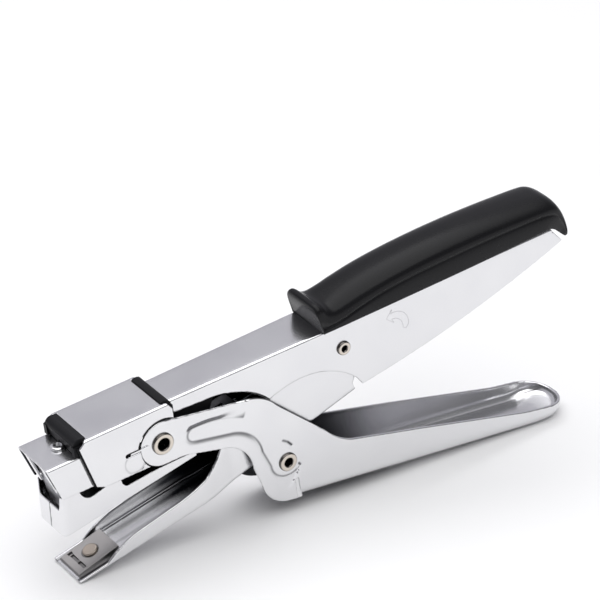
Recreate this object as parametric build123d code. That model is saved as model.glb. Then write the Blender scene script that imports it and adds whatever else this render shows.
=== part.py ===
from build123d import *
import math
import os

# Plier stapler, pressed steel, millimetres. The design frame has +X to the rear along the top
# channel, +Z up and Y across. At the end every part is tipped by STAND_TILT, so that the
# stapler stands on the clincher arm's toe and the lever's heel, and centred on the floor.
STAND_TILT = 7.0
STAND_X = -82.07
STAND_Z = 0.5

# pivots (x, z)
FRONT_PIVOT = (32.0, 34.1)
CAM_PIVOT = (71.0, 9.3)
REAR_PIVOT = (95.0, 37.5)

# top channel
SHEET = 0.8
CHANNEL_TOP = 45.4
CHANNEL_FRONT = 7.0
CHANNEL_REAR = 175.0
CHANNEL_STATIONS = ((0.0, 6.9), (38.0, 6.9), (88.0, 7.8), (190.0, 7.8))
FLANGE_START = 20.0
EAR_RADIUS = 4.8
HOOK_TIP = (100.2, 22.5)
BEND = 1.4

# head: cap, liner, nose
CAP_HALF = 9.5
CAP_TOP = 46.5
CAP_FRONT = 8.9
CAP_REAR = 33.5
CAP_LOW = 28.8
CAP_SIDE_FRONT = 5.9
CAP_SIDE_REAR = 36.4
CAP_ARC = 8.4
CAP_LOWER_ARC = 7.38
SLIT_Z = 35.6
SLIT_FRONT = 20.2
DIMPLE = (22.5, 32.5)
DIMPLE_RADIUS = 3.3
LINER_HALF = 8.6
LINER_GAP = 0.05
LIP_RISE = 0.5
NOSE_HALF = 8.4
NOSE_TOP = 41.5
NOSE_TIP = -4.6
NOSE_LOW = 30.2
NOSE_LOW_FRONT = -1.1
NOSE_REAR = 16.5
GUIDE_FRONT = 37.2
GUIDE_TOP = CHANNEL_TOP - SHEET - 0.35
GUIDE_IN = 5.5
GUIDE_OUT = 6.0
FINGER_IN = 3.6
FINGER_OUT = 5.2
FINGER_END = 30.9

# grip: (x, half-width, crown) stations
GRIP_FRONT = 88.4
GRIP_HALF = 8.5
GRIP_LOW = 44.6
GRIP_SEAT = 7.85
GRIP_STATIONS = ((91.5, 8.3, 51.9), (97.0, 8.4, 53.0), (105.0, 8.5, 54.7), (120.0, 8.5, 56.3),
                 (138.0, 8.5, 57.0), (155.0, 8.5, 56.6), (170.5, 8.4, 55.3))
TAIL_STATIONS = ((168.0, 8.45, 55.7), (174.2, 8.0, 54.0))
TAIL_X = 177.6

# head rivets and driver
HEAD_RIVET_X = (10.2, 14.4)
HEAD_RIVET_R = 1.2
DRIVER_RIVET_X = 3.9
DRIVER_RIVET_R = 1.3
DRIVER_TAB_END = 8.0
BLOCK_HALF = 5.0
DRIVER_THICK = 0.5
DRIVER_HALF = 4.2
DRIVER_LEAN = 9.0

# magazine: built level about the rear pivot, then tipped by MAGAZINE_SLOPE
MAGAZINE_SLOPE = 9.0
MAG_FLOOR = -5.1
MAG_SHEET = 0.6
WALL_OUT = 5.2
WALL_TOP = -0.4
RAIL_HALF = 3.7
RAIL_TOP = -0.15
STAPLE_HALF = 4.45
STAPLE_WIRE = 0.5
STAPLE_TOP = 0.4
DRIVER_U = -95.0
STRIP_FRONT = -94.4
STRIP_LENGTH = 10.0
PUSHER_FRONT = STRIP_FRONT + STRIP_LENGTH + 0.02
PUSHER_LENGTH = 8.0
BRIDGE = (-74.5, -68.0)
BRIDGE_TOP = 1.7
END_PLATE = -36.0
FLOOR_REAR = -20.0
MAG_EAR = 4.6
ROD_RADIUS = 0.8
ROD_W = -2.4
SHROUD_HALF = 7.4
SHROUD_FRONT = -99.2
SHROUD_OPENING = 6.0

# clincher arm
ARM_STATIONS = ((-5.0, 7.65), (44.0, 7.65), (54.0, 6.3), (110.0, 6.65))
ARM_SHEET = 0.9
TOE = (0.0, -0.6)
ARM_KNEE = (48.0, 6.9)
ARM_HEEL = (98.4, 20.5)
CHEEK_TOP = (56.0, 33.6)
ARM_EAR = 4.4
ANVIL_HALF = 5.45
ANVIL_FRONT = 1.0
ANVIL_REAR = 14.8
ANVIL_LIFT = 1.35
ANVIL_SLOPE = 15.3
ANVIL_RIVET_X = 8.2
SLOT_X = 3.7

# squeeze lever
LEVER_HALF = 9.3
LEVER_SHEET = 1.0
ARM_PLATE_OUT = 8.8
ARM_PLATE_IN = 8.0
LEVER_END = 7.2
TROUGH_BEND = 3.4
TROUGH_CORNER = 8.6
LEVER_HEEL = (158.5, -19.87)
LEVER_TAIL = (173.0, -18.9)
TAIL_RIM = (173.0, -16.9)
FLOOR_FRONT = (70.0, -4.5)
FLOOR_START = 73.0

# tubular rivets: flange radius, tube radius, bore radius
FRONT_RIVET = (3.4, 2.3, 1.85)
CAM_RIVET = (2.95, 2.0, 1.35)
REAR_RIVET = (2.2, 1.7, 0.9)
FLANGE_THICK = 0.7
RUN_GAP = 0.05
SLEEVE_WALL = 0.6
CAM_SLEEVE = 3.2

# springs: coil radius, wire diameter, pitch
PUSHER_SPRING = (1.7, 0.4, 2.0)
RETURN_SPRING = (3.0, 0.8, 2.4)
OPENING_SPRING = (3.3, 1.0, 1.15)

# half-width and length of cutters that pass right through
WIDE = 20.0
TALL = 200.0


def at(point):
    return (point[0], 0, point[1])


def outline(start, *moves):
    """Closed face in the XZ plane. A move is an end point, or (mid, end) for an arc."""
    edges = []
    here = start
    for move in moves:
        if isinstance(move[0], tuple):
            mid, end = move
            edges.append(ThreePointArc(at(here), at(mid), at(end)))
        else:
            end = move
            edges.append(Line(at(here), at(end)))
        here = end
    if here != start:
        edges.append(Line(at(here), at(start)))
    return make_face(edges)


def slab(face, low, high):
    """An XZ face made solid between two Y values."""
    return Pos(0, low, 0) * extrude(face, amount=high - low, dir=(0, 1, 0))


def both(face, inner, outer):
    """The same plate on the near and the far side."""
    return slab(face, -outer, -inner) + slab(face, inner, outer)


def width_block(stations, cut=0.0):
    """Prism whose half-width follows (x, half-width) stations, less cut on each side."""
    near = [(x, cut - half) for x, half in stations]
    far = [(x, half - cut) for x, half in reversed(stations)]
    face = make_face(Polyline(*near, *far, close=True))
    return Pos(0, 0, -TALL / 2) * extrude(face, amount=TALL)


def across(centre, radius, low, high):
    """Cylinder along Y."""
    x, z = centre
    return Pos(x, (low + high) / 2, z) * Rot(90, 0, 0) * Cylinder(radius, abs(high - low))


def upright(x, y, radius, low, high):
    return Pos(x, y, (low + high) / 2) * Cylinder(radius, high - low)


def block(x0, x1, half, z0, z1):
    return Pos((x0 + x1) / 2, 0, (z0 + z1) / 2) * Box(x1 - x0, 2 * half, z1 - z0)


def long_edges(part, axis_group):
    """Edges of the lowest (0) or highest (-1) level that run lengthwise, not across."""
    level = part.edges().group_by(Axis.Z)[axis_group]
    return [edge for edge in level if abs((edge @ 1 - edge @ 0).X) > abs((edge @ 1 - edge @ 0).Y)]


def on_circle(centre, radius, angle):
    turn = math.radians(angle)
    return (centre[0] + radius * math.cos(turn), centre[1] + radius * math.sin(turn))


def tubular_rivet(centre, sizes, grip):
    """Hollow rivet along Y, with a rolled flange on each side of its grip half-length."""
    flange, tube, bore = sizes
    body = across(centre, tube, -grip, grip)
    for side in (-1, 1):
        head = across(centre, flange, grip * side, (grip + FLANGE_THICK) * side)
        rims = head.edges().filter_by(GeomType.CIRCLE).sort_by(Axis.Y)
        head = fillet(rims[-1] if side > 0 else rims[0], FLANGE_THICK * 0.6)
        body += head
    body -= across(centre, bore, -grip - 2, grip + 2)
    outer = [edge for edge in body.edges().filter_by(GeomType.CIRCLE)
             if abs(edge.radius - bore) < 0.01]
    return chamfer(outer, 0.3)


# ---------------------------------------------------------------- top handle

def channel_flange():
    """Side outline of the top channel, from its web down to the flange's lower edge."""
    x, z = FRONT_PIVOT
    web_low = CHANNEL_TOP - SHEET
    return outline(
        (CHANNEL_FRONT, CHANNEL_TOP), (CHANNEL_REAR - 4, CHANNEL_TOP), (CHANNEL_REAR, 40.0),
        ((152.0, 32.8), HOOK_TIP),
        (98.4, 25.4), ((84.5, 33.2), (68.6, 31.0)),
        ((61.0, 37.3), (48.0, 40.4)), (37.6, 40.9), (x + EAR_RADIUS, z),
        ((x, z - EAR_RADIUS), (x - EAR_RADIUS, z)), (x - EAR_RADIUS, 40.9),
        (FLANGE_START, 40.9), (FLANGE_START, web_low), (CHANNEL_FRONT, web_low))


def upper_handle_channel():
    outer = slab(channel_flange(), -20, 20) & width_block(CHANNEL_STATIONS)
    outer = fillet(long_edges(outer, -1), BEND)
    hollow = block(-50, 250, 20, -50, CHANNEL_TOP - SHEET)
    hollow = hollow & width_block(CHANNEL_STATIONS, SHEET)
    hollow = fillet(long_edges(hollow, -1), BEND - SHEET)
    part = outer - hollow
    part -= across(FRONT_PIVOT, FRONT_RIVET[1], -20, 20)
    part -= across(REAR_PIVOT, REAR_RIVET[1], -20, 20)
    for rivet_x in HEAD_RIVET_X:
        part -= upright(rivet_x, 0, HEAD_RIVET_R, 40, 50)
    return part


def grip_section(x, half, low, crown):
    """Cross-section of the grip: near-vertical sides, rounded shoulders and a crowned top."""
    shoulder = low + 0.58 * (crown - low)
    inset = half * 0.62
    near_top = crown - 0.1 * (crown - low)
    edges = [
        Line((x, -half, low), (x, half, low)),
        Line((x, half, low), (x, half, shoulder)),
        ThreePointArc((x, half, shoulder), (x, half * 0.9, near_top - 1.0), (x, inset, near_top)),
        ThreePointArc((x, inset, near_top), (x, 0, crown), (x, -inset, near_top)),
        ThreePointArc((x, -inset, near_top), (x, -half * 0.9, near_top - 1.0), (x, -half, shoulder)),
        Line((x, -half, shoulder), (x, -half, low))]
    return make_face(edges)


def grip_tail():
    """Rear end of the grip, which falls away and hooks down over the channel's end."""
    face = outline(
        (166.0, 56.9), ((173.6, 54.2), (TAIL_X - 0.6, 47.5)), (TAIL_X, 42.0), (TAIL_X - 2.2, 41.4),
        (CHANNEL_REAR + 0.3, 44.3), (CHANNEL_REAR - 5, GRIP_LOW), (166.0, GRIP_LOW))
    plan = make_face(Polyline((160, -8.5), (171, -8.4), (176.2, -6.6), (178, -3.0),
                              (178, 3.0), (176.2, 6.6), (171, 8.4), (160, 8.5), close=True))
    tail = slab(face, -GRIP_HALF, GRIP_HALF) & extrude(plan, amount=TALL)
    crown = loft([grip_section(x, half, GRIP_LOW, top) for x, half, top in TAIL_STATIONS])
    end_x = TAIL_STATIONS[-1][0]
    behind = block(end_x - 0.1, end_x + 10, WIDE, 30, TAIL_STATIONS[-1][2] - 0.1)
    return tail & (crown + behind)


def grip_cover():
    """Moulded grip: crowned body, raised lip at the front, tail hooked over the channel's end."""
    body = loft([grip_section(x, half, GRIP_LOW, crown) for x, half, crown in GRIP_STATIONS])
    lip_face = outline(
        (GRIP_FRONT, CHANNEL_TOP + RUN_GAP), (GRIP_FRONT - 1.2, 52.8),
        ((GRIP_FRONT, 54.1), (90.4, 52.6)), (92.5, 51.0), (92.5, CHANNEL_TOP + RUN_GAP))
    lip = slab(lip_face, 0.1 - GRIP_HALF, GRIP_HALF - 0.1)
    seat = block(GRIP_FRONT - 5, CHANNEL_REAR + 0.25, GRIP_SEAT, 30, CHANNEL_TOP + RUN_GAP)
    return body + grip_tail() + lip - seat


# ---------------------------------------------------------------- head

def cap_side():
    x, z = FRONT_PIVOT
    slit_top = SLIT_Z + 0.6
    slit_low = SLIT_Z - 0.6
    upper_start = x - math.sqrt(CAP_ARC ** 2 - (slit_top - z) ** 2)
    lower_start = x - math.sqrt(CAP_LOWER_ARC ** 2 - (slit_low - z) ** 2)
    lower_end = x - math.sqrt(CAP_LOWER_ARC ** 2 - (z - CAP_LOW) ** 2)
    arc_end_z = z + math.sqrt(CAP_ARC ** 2 - (CAP_SIDE_REAR - x) ** 2)
    return outline(
        (CAP_SIDE_FRONT, 44.6), (8.3, CAP_TOP), (CAP_SIDE_REAR - 1.5, CAP_TOP), (CAP_SIDE_REAR, 44.4),
        (CAP_SIDE_REAR, arc_end_z),
        (on_circle(FRONT_PIVOT, CAP_ARC, 120), (upper_start, slit_top)),
        (SLIT_FRONT, slit_top), ((SLIT_FRONT - 0.6, SLIT_Z), (SLIT_FRONT, slit_low)),
        (lower_start, slit_low), (on_circle(FRONT_PIVOT, CAP_LOWER_ARC, 190), (lower_end, CAP_LOW)),
        (12.0, CAP_LOW + 0.2), (9.4, 30.2))


def head_cap():
    outer = fillet(long_edges(slab(cap_side(), -CAP_HALF, CAP_HALF), -1), BEND)
    hollow = block(-50, 250, CAP_HALF - SHEET, -50, CAP_TOP - SHEET)
    hollow = fillet(long_edges(hollow, -1), BEND - SHEET)
    part = outer - hollow
    part -= block(0, CAP_FRONT, CAP_HALF - 1.5, 45, 50)
    part -= block(CAP_REAR, 50, CAP_HALF - 1.5, 45, 50)
    rim = across(DIMPLE, DIMPLE_RADIUS, CAP_HALF - 0.12, CAP_HALF + 1)
    rim = rim - across(DIMPLE, DIMPLE_RADIUS - 0.35, 0, CAP_HALF + 2)
    part -= rim
    part -= rim.mirror(Plane.XZ)
    return part


def head_liner():
    """Black plastic liner: front wall and lip, rear lip, and cheeks that fill the cap's sides."""
    x, z = FRONT_PIVOT
    inside_top = CAP_TOP - SHEET - LINER_GAP
    cheek = outline((18.7, inside_top - 0.6), (18.7, 32.2), (24.0, 32.2), (24.0, 36.0),
                    (on_circle(FRONT_PIVOT, 7.9, 130), (x, z + 7.9)), (37.0, 42.0),
                    (37.0, inside_top - 0.6))
    part = both(cheek, 7.0, LINER_HALF)
    rail = outline((4.6, NOSE_TOP + 0.3), (4.6, inside_top - 0.6), (37.0, inside_top - 0.6),
                   (37.0, 42.0), (18.7, 42.0), (18.7, NOSE_TOP + 0.3))
    part += both(rail, 7.0, LINER_HALF)
    wall = outline((5.4, NOSE_TOP + 0.25), (4.8, 45.2), ((5.6, 46.6), (6.8, CAP_TOP + LIP_RISE)),
                   (CAP_FRONT - LINER_GAP, CAP_TOP + LIP_RISE - 0.2), (CAP_FRONT - LINER_GAP, 45.5),
                   (CHANNEL_FRONT - LINER_GAP, 45.5), (CHANNEL_FRONT - LINER_GAP, NOSE_TOP + 0.25))
    part += slab(wall, -CAP_HALF + 1.6, CAP_HALF - 1.6)
    lip = outline((CAP_REAR + LINER_GAP, CHANNEL_TOP + LINER_GAP), (CAP_REAR + LINER_GAP, CAP_TOP + 0.2),
                  ((34.6, CAP_TOP + LIP_RISE), (36.2, CAP_TOP + 0.1)), (37.0, CHANNEL_TOP + LINER_GAP))
    part += slab(lip, -CAP_HALF + 1.6, CAP_HALF - 1.6)
    leg = outline((CAP_REAR + LINER_GAP, 42.5), (CAP_REAR + LINER_GAP, CAP_TOP),
                  (36.3, CAP_TOP), (37.0, 42.5))
    part += both(leg, 7.0, CAP_HALF - 1.6)
    part -= upright(DRIVER_RIVET_X, 0, 2.4, NOSE_TOP, NOSE_TOP + 1.3)
    return part


def guide_liner():
    """Black plastic guide under the channel's web, with a cheek on each side of the magazine."""
    cheek = outline((GUIDE_FRONT, 30.5), (44.2, 30.5), ((48.6, 34.4), (51.4, 40.8)), (52.0, 43.0),
                    (52.0, GUIDE_TOP), (GUIDE_FRONT, GUIDE_TOP))
    part = both(cheek, GUIDE_IN, GUIDE_OUT)
    return part + block(GUIDE_FRONT, 52.0, GUIDE_OUT, 43.2, GUIDE_TOP)


def nose_housing():
    side = outline((NOSE_TIP, NOSE_TOP), (NOSE_REAR, NOSE_TOP), (NOSE_REAR, NOSE_LOW),
                   (NOSE_LOW_FRONT, NOSE_LOW))
    outer = fillet(long_edges(slab(side, -NOSE_HALF, NOSE_HALF), -1), BEND)
    hollow = block(-50, 250, NOSE_HALF - SHEET, -50, NOSE_TOP - SHEET)
    hollow = fillet(long_edges(hollow, -1), BEND - SHEET)
    part = outer - hollow
    lean = (NOSE_LOW_FRONT - NOSE_TIP) / (NOSE_TOP - NOSE_LOW)
    foot = NOSE_TIP + lean * (NOSE_TOP - FINGER_END)
    finger = outline((NOSE_TIP, NOSE_TOP - 0.2), (NOSE_TIP + SHEET, NOSE_TOP - 0.2),
                     (foot + SHEET, FINGER_END), ((foot + SHEET / 2, FINGER_END - 0.3), (foot, FINGER_END)))
    part += Pos(0.1, 0, 0) * both(finger, FINGER_IN, FINGER_OUT)
    for rivet_x in HEAD_RIVET_X:
        part -= upright(rivet_x, 0, HEAD_RIVET_R, NOSE_TOP - 2, NOSE_TOP + 1)
    part -= upright(DRIVER_RIVET_X, 0, DRIVER_RIVET_R, NOSE_TOP - 2, NOSE_TOP + 1)
    return part


def driver_tip():
    """Where the driver's blade stops, just above the front staple's crown."""
    return magazine_point(DRIVER_U, STAPLE_TOP + 0.3)


def magazine_point(u, w):
    turn = math.radians(MAGAZINE_SLOPE)
    return (REAR_PIVOT[0] + u * math.cos(turn) - w * math.sin(turn),
            REAR_PIVOT[1] + u * math.sin(turn) + w * math.cos(turn))


def driver_blade():
    tip_x, tip_z = driver_tip()
    tab_top = NOSE_TOP - SHEET - 0.03
    tab_low = tab_top - 0.6
    lean = math.tan(math.radians(DRIVER_LEAN))
    top_x = tip_x - lean * (tab_top - tip_z)
    blade = outline((tip_x - DRIVER_THICK / 2, tip_z), (top_x - DRIVER_THICK / 2, tab_top),
                    (DRIVER_TAB_END, tab_top), (DRIVER_TAB_END, tab_low),
                    (top_x + DRIVER_THICK / 2 + 0.3, tab_low), (tip_x + DRIVER_THICK / 2, tip_z))
    part = slab(blade, -DRIVER_HALF, DRIVER_HALF)
    return part - upright(DRIVER_RIVET_X, 0, DRIVER_RIVET_R, 35, 45)


def driver_rivet():
    top = NOSE_TOP
    low = NOSE_TOP - SHEET - 0.63
    head = upright(DRIVER_RIVET_X, 0, 2.2, top, top + 0.9)
    head = fillet(head.edges().filter_by(GeomType.CIRCLE).sort_by(Axis.Z)[-1], 0.6)
    head -= upright(DRIVER_RIVET_X, 0, DRIVER_RIVET_R, top + 0.3, top + 2)
    tail = upright(DRIVER_RIVET_X, 0, 2.0, low - 0.5, low)
    return head + upright(DRIVER_RIVET_X, 0, DRIVER_RIVET_R, low, top) + tail


def driver_block():
    part = block(HEAD_RIVET_X[0] - 2.2, HEAD_RIVET_X[1] + 2.0, BLOCK_HALF, NOSE_TOP, CHANNEL_TOP - SHEET)
    for x in HEAD_RIVET_X:
        part -= upright(x, 0, HEAD_RIVET_R, 40, 50)
    return part


def head_rivets():
    """Two rivets through the channel's web, the spacer block and the nose's top."""
    rivets = []
    low = NOSE_TOP - SHEET
    for x in HEAD_RIVET_X:
        shank = upright(x, 0, HEAD_RIVET_R, low, CHANNEL_TOP)
        rivets.append(shank + upright(x, 0, 1.9, low - 0.5, low))
    return Compound(children=rivets)


# ---------------------------------------------------------------- pivots

def front_pivot_rivet():
    return tubular_rivet(FRONT_PIVOT, FRONT_RIVET, ARM_PLATE_OUT + RUN_GAP)


def front_pivot_spacers():
    near = across(FRONT_PIVOT, 4.0, -ARM_PLATE_IN + RUN_GAP, -6.95)
    hole = across(FRONT_PIVOT, FRONT_RIVET[1], -20, 20)
    ring = near - hole
    return Compound(children=[ring, ring.mirror(Plane.XZ)])


def rear_pivot_rivet():
    return tubular_rivet(REAR_PIVOT, REAR_RIVET, 7.85)


def rear_pivot_sleeve():
    radius = REAR_RIVET[1] + SLEEVE_WALL
    return across(REAR_PIVOT, radius, -6.9, 6.9) - across(REAR_PIVOT, REAR_RIVET[1], -20, 20)


def cam_rivet():
    return tubular_rivet(CAM_PIVOT, CAM_RIVET, LEVER_HALF)


def cam_sleeve():
    return across(CAM_PIVOT, CAM_SLEEVE, -7.95, 7.95) - across(CAM_PIVOT, CAM_RIVET[1], -20, 20)


# ---------------------------------------------------------------- magazine (level, about the rear pivot)

def tipped(part):
    """From the magazine's level frame, centred on the rear pivot, into the design frame."""
    return Pos(REAR_PIVOT[0], 0, REAR_PIVOT[1]) * Rot(0, -MAGAZINE_SLOPE, 0) * part


def magazine_channel():
    """Open-topped channel that guides the staples, with two rear arms that end in pivot ears."""
    front = DRIVER_U - 2.2
    wall = outline((front, MAG_FLOOR), (-4.0, MAG_FLOOR),
                   (on_circle((0, 0), MAG_EAR, -20), on_circle((0, 0), MAG_EAR, 110)),
                   (-12.0, WALL_TOP), (BRIDGE[1], WALL_TOP), (BRIDGE[1], BRIDGE_TOP),
                   (BRIDGE[0], BRIDGE_TOP), (BRIDGE[0], WALL_TOP), (front, WALL_TOP))
    part = both(wall, WALL_OUT - MAG_SHEET, WALL_OUT)
    floor_front = STRIP_FRONT + 0.6
    part += block(floor_front, FLOOR_REAR, WALL_OUT, MAG_FLOOR, MAG_FLOOR + MAG_SHEET)
    part += block(BRIDGE[0], BRIDGE[1], WALL_OUT, BRIDGE_TOP - MAG_SHEET, BRIDGE_TOP)
    part += block(END_PLATE, END_PLATE + 1.0, WALL_OUT, MAG_FLOOR, WALL_TOP)
    part -= Pos(END_PLATE, 0, ROD_W) * Rot(0, 90, 0) * Cylinder(ROD_RADIUS, 6)
    part -= across((0, 0), REAR_RIVET[1] + SLEEVE_WALL + RUN_GAP, -20, 20)
    return tipped(part)


def front_opening():
    """Gap between the folded front flaps, whose top edges rise away from the seam."""
    edge = ((0.0, 3.0), (5.4, 3.0), (5.8, 4.6), (6.0, 7.0), (6.0, 15.4))
    left = [(-y, w) for y, w in reversed(edge[1:])]
    face = make_face(Polyline(*[(0, y, w) for y, w in [*edge, *left]], close=True))
    return Pos(SHROUD_FRONT - 4, 0, 0) * extrude(face, amount=2 * SHROUD_OPENING, dir=(1, 0, 0))


def magazine_shroud():
    """Folded front of the magazine: tall cheeks, closed front flaps with a seam, rear skirt."""
    top_front = (-96.4, 7.5)
    side = outline((SHROUD_FRONT, MAG_FLOOR), (-53.5, MAG_FLOOR), (-53.5, -3.4), (-66.0, -1.6),
                   (-76.2, -0.9), ((-77.1, -0.2), (-77.5, 1.6)), (-78.0, 4.4), (-81.2, 5.2),
                   (-82.1, 3.2), (-86.0, 2.7), ((-88.4, 3.0), (-90.2, 5.4)), (-90.6, 6.9), top_front)
    outer = slab(side, -SHROUD_HALF, SHROUD_HALF)
    front_edges = [edge for edge in outer.edges()
                   if edge.center().X < -97 and abs(edge.center().Y) > SHROUD_HALF - 0.1
                   and edge.length > 8]
    outer = fillet(front_edges, 2.0)
    lean = (top_front[0] - SHROUD_FRONT) / (top_front[1] - MAG_FLOOR)
    inner_face = outline((SHROUD_FRONT + MAG_SHEET - lean * 20, MAG_FLOOR - 20), (10, MAG_FLOOR - 20),
                         (10, 30), (SHROUD_FRONT + MAG_SHEET + lean * 35, 30))
    inner = slab(inner_face, MAG_SHEET - SHROUD_HALF, SHROUD_HALF - MAG_SHEET)
    inner_edges = [edge for edge in inner.edges()
                   if edge.center().X < -90 and abs(edge.center().Y) > SHROUD_HALF - 1]
    inner = fillet(inner_edges, 1.4)
    part = outer - inner
    part -= front_opening()
    part -= Pos(SHROUD_FRONT, 0, MAG_FLOOR + 15.8) * Box(8, 0.3, 30)
    web = block(-93.4, -56.0, SHROUD_HALF - MAG_SHEET / 2, MAG_FLOOR, MAG_FLOOR + MAG_SHEET)
    web -= block(-120, 0, WALL_OUT + 0.02, MAG_FLOOR - 1, MAG_FLOOR + 3)
    return tipped(part + web)


def staple_rail():
    """Inverted U that the staples straddle, slotted along its top for the pusher's fin."""
    rear = END_PLATE - 0.1
    low = MAG_FLOOR + MAG_SHEET
    part = block(STRIP_FRONT, rear, RAIL_HALF, low, RAIL_TOP)
    part -= block(STRIP_FRONT + 1.2, 0, RAIL_HALF - 0.5, low - 1, RAIL_TOP - 0.5)
    part -= block(STRIP_FRONT + 6.0, rear - 2, 0.8, RAIL_TOP - 1, RAIL_TOP + 1)
    part -= Pos(STRIP_FRONT, 0, ROD_W) * Rot(0, 90, 0) * Cylinder(ROD_RADIUS, 8)
    return tipped(part)


def staple_strip():
    """A glued stick of staples: one U section, grooved between the wires."""
    low = MAG_FLOOR + MAG_SHEET
    end = STRIP_FRONT + STRIP_LENGTH
    part = block(STRIP_FRONT, end, STAPLE_HALF, low, STAPLE_TOP)
    part -= block(STRIP_FRONT - 1, end + 1, STAPLE_HALF - STAPLE_WIRE, low - 1, STAPLE_TOP - STAPLE_WIRE)
    count = round(STRIP_LENGTH / STAPLE_WIRE)
    for index in range(1, count):
        x = STRIP_FRONT + index * STAPLE_WIRE
        part -= block(x - 0.05, x + 0.05, STAPLE_HALF, STAPLE_TOP - 0.08, STAPLE_TOP + 1)
    return tipped(part)


def staple_pusher():
    low = MAG_FLOOR + MAG_SHEET + 0.1
    rear = PUSHER_FRONT + PUSHER_LENGTH
    part = block(PUSHER_FRONT, rear, STAPLE_HALF - 0.05, low, STAPLE_TOP)
    part -= block(PUSHER_FRONT - 1, rear + 1, RAIL_HALF + 0.1, low - 1, RAIL_TOP + 0.1)
    part += block(PUSHER_FRONT + 1, rear - 1, 0.6, ROD_W, STAPLE_TOP)
    part += block(PUSHER_FRONT + 1, rear - 1, 1.6, ROD_W - 1.5, ROD_W + 1.5)
    part -= Pos(PUSHER_FRONT, 0, ROD_W) * Rot(0, 90, 0) * Cylinder(ROD_RADIUS + RUN_GAP, 40)
    return tipped(part)


def pusher_rod():
    low = STRIP_FRONT + 0.8
    high = END_PLATE + 1.6
    rod = Pos((low + high) / 2, 0, ROD_W) * Rot(0, 90, 0) * Cylinder(ROD_RADIUS, high - low)
    head = Pos(high + 0.3, 0, ROD_W) * Rot(0, 90, 0) * Cylinder(1.5, 0.6)
    return tipped(rod + head)


def coil(radius, wire, pitch, length):
    """Round-wire helix standing on Z = 0."""
    turns = Helix(pitch=pitch, height=length, radius=radius)
    section = Plane(turns @ 0, z_dir=turns % 0) * Circle(wire / 2)
    return sweep(section, path=turns)


def pusher_spring():
    start = PUSHER_FRONT + PUSHER_LENGTH - 0.7
    radius, wire, pitch = PUSHER_SPRING
    length = END_PLATE - start - 0.8
    spring = coil(radius, wire, pitch, length)
    return tipped(Pos(start, 0, ROD_W) * Rot(0, 90, 0) * spring)


def magazine_return_spring():
    """Compression spring between the magazine's bridge and the channel's web."""
    radius, wire, pitch = RETURN_SPRING
    middle = (BRIDGE[0] + BRIDGE[1]) / 2
    x, z = magazine_point(middle, BRIDGE_TOP)
    low = z + 1.4
    high = CHANNEL_TOP - SHEET - wire / 2 - 0.1
    return Pos(x, 0, low) * coil(radius, wire, pitch, high - low)


def opening_spring():
    """Torsion spring round the rear pivot: one leg on the arm's web, one under the channel's."""
    radius, wire, pitch = OPENING_SPRING
    x, z = REAR_PIVOT
    turns = 6
    length = pitch * turns
    body = Rot(90, 0, 0) * coil(radius, wire, pitch, length)
    body = Pos(x, length / 2, z) * body
    reach = 9.0
    leg = wire / 2 + 0.02
    upper = Pos(x + radius, -length / 2, z) * Rot(0, 40, 0)
    upper_leg = upper * (Pos(0, 0, reach / 2 - 0.5) * Cylinder(leg, reach))
    foot = arm_line(x + 1.0) + ARM_SHEET + wire / 2 + 0.2
    drop = z - foot
    lower_leg = Pos(x + radius, length / 2, z - drop / 2 + 0.3) * Cylinder(leg, drop)
    return body + upper_leg + lower_leg


# ---------------------------------------------------------------- clincher arm

def arm_line(x):
    """Underside of the arm's web behind its knee."""
    slope = (ARM_HEEL[1] - ARM_KNEE[1]) / (ARM_HEEL[0] - ARM_KNEE[0])
    return ARM_KNEE[1] + slope * (x - ARM_KNEE[0])


def clincher_arm():
    x, z = REAR_PIVOT
    side = outline(
        (TOE[0] + 0.8, TOE[1]), ARM_KNEE, ARM_HEEL, (97.6, 23.2), (98.6, 25.4), (98.6, z),
        (on_circle(REAR_PIVOT, ARM_EAR, 60), on_circle(REAR_PIVOT, ARM_EAR, 120)),
        CHEEK_TOP, (53.6, 30.5),
        ((50.5, 20.6), (44.5, 14.6)), ((40.0, 12.6), (34.0, 10.9)), (20.0, 7.9), ((13.5, 5.0), (9.5, 2.2)),
        (TOE[0], 0.5), (TOE[0], TOE[1] + 0.8))
    outer = slab(side, -20, 20) & width_block(ARM_STATIONS)
    outer = fillet([edge for edge in outer.edges() if is_arm_bend(edge)], 1.3)
    web_top = outline((TOE[0] - 20, TOE[1] + ARM_SHEET - 3.1), (ARM_KNEE[0], ARM_KNEE[1] + ARM_SHEET),
                      (ARM_HEEL[0] + 20, arm_line(ARM_HEEL[0] + 20) + ARM_SHEET), (120, 90), (-20, 90))
    hollow = slab(web_top, -20, 20) & width_block(ARM_STATIONS, ARM_SHEET)
    part = outer - hollow
    part -= across(REAR_PIVOT, REAR_RIVET[1] + SLEEVE_WALL + RUN_GAP, -20, 20)
    part -= Pos(ANVIL_RIVET_X, 0, 0) * Cylinder(1.2, 12)
    return part


def is_arm_bend(edge):
    """Long lower outer edges of the arm, where the web turns up into its sides."""
    middle = edge.center()
    if edge.length < 2 or abs(middle.Y) < 6.0:
        return False
    if middle.X < ARM_KNEE[0]:
        line = TOE[1] + (ARM_KNEE[1] - TOE[1]) * middle.X / ARM_KNEE[0]
    else:
        line = arm_line(middle.X)
    return abs(middle.Z - line) < 0.25


def web_top_at(x):
    slope = (ARM_KNEE[1] - TOE[1]) / (ARM_KNEE[0] - TOE[0])
    return TOE[1] + slope * x + ARM_SHEET + 0.02


def anvil_top_at(x):
    return ANVIL_LIFT + math.tan(math.radians(ANVIL_SLOPE)) * (x - ANVIL_FRONT)


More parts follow.
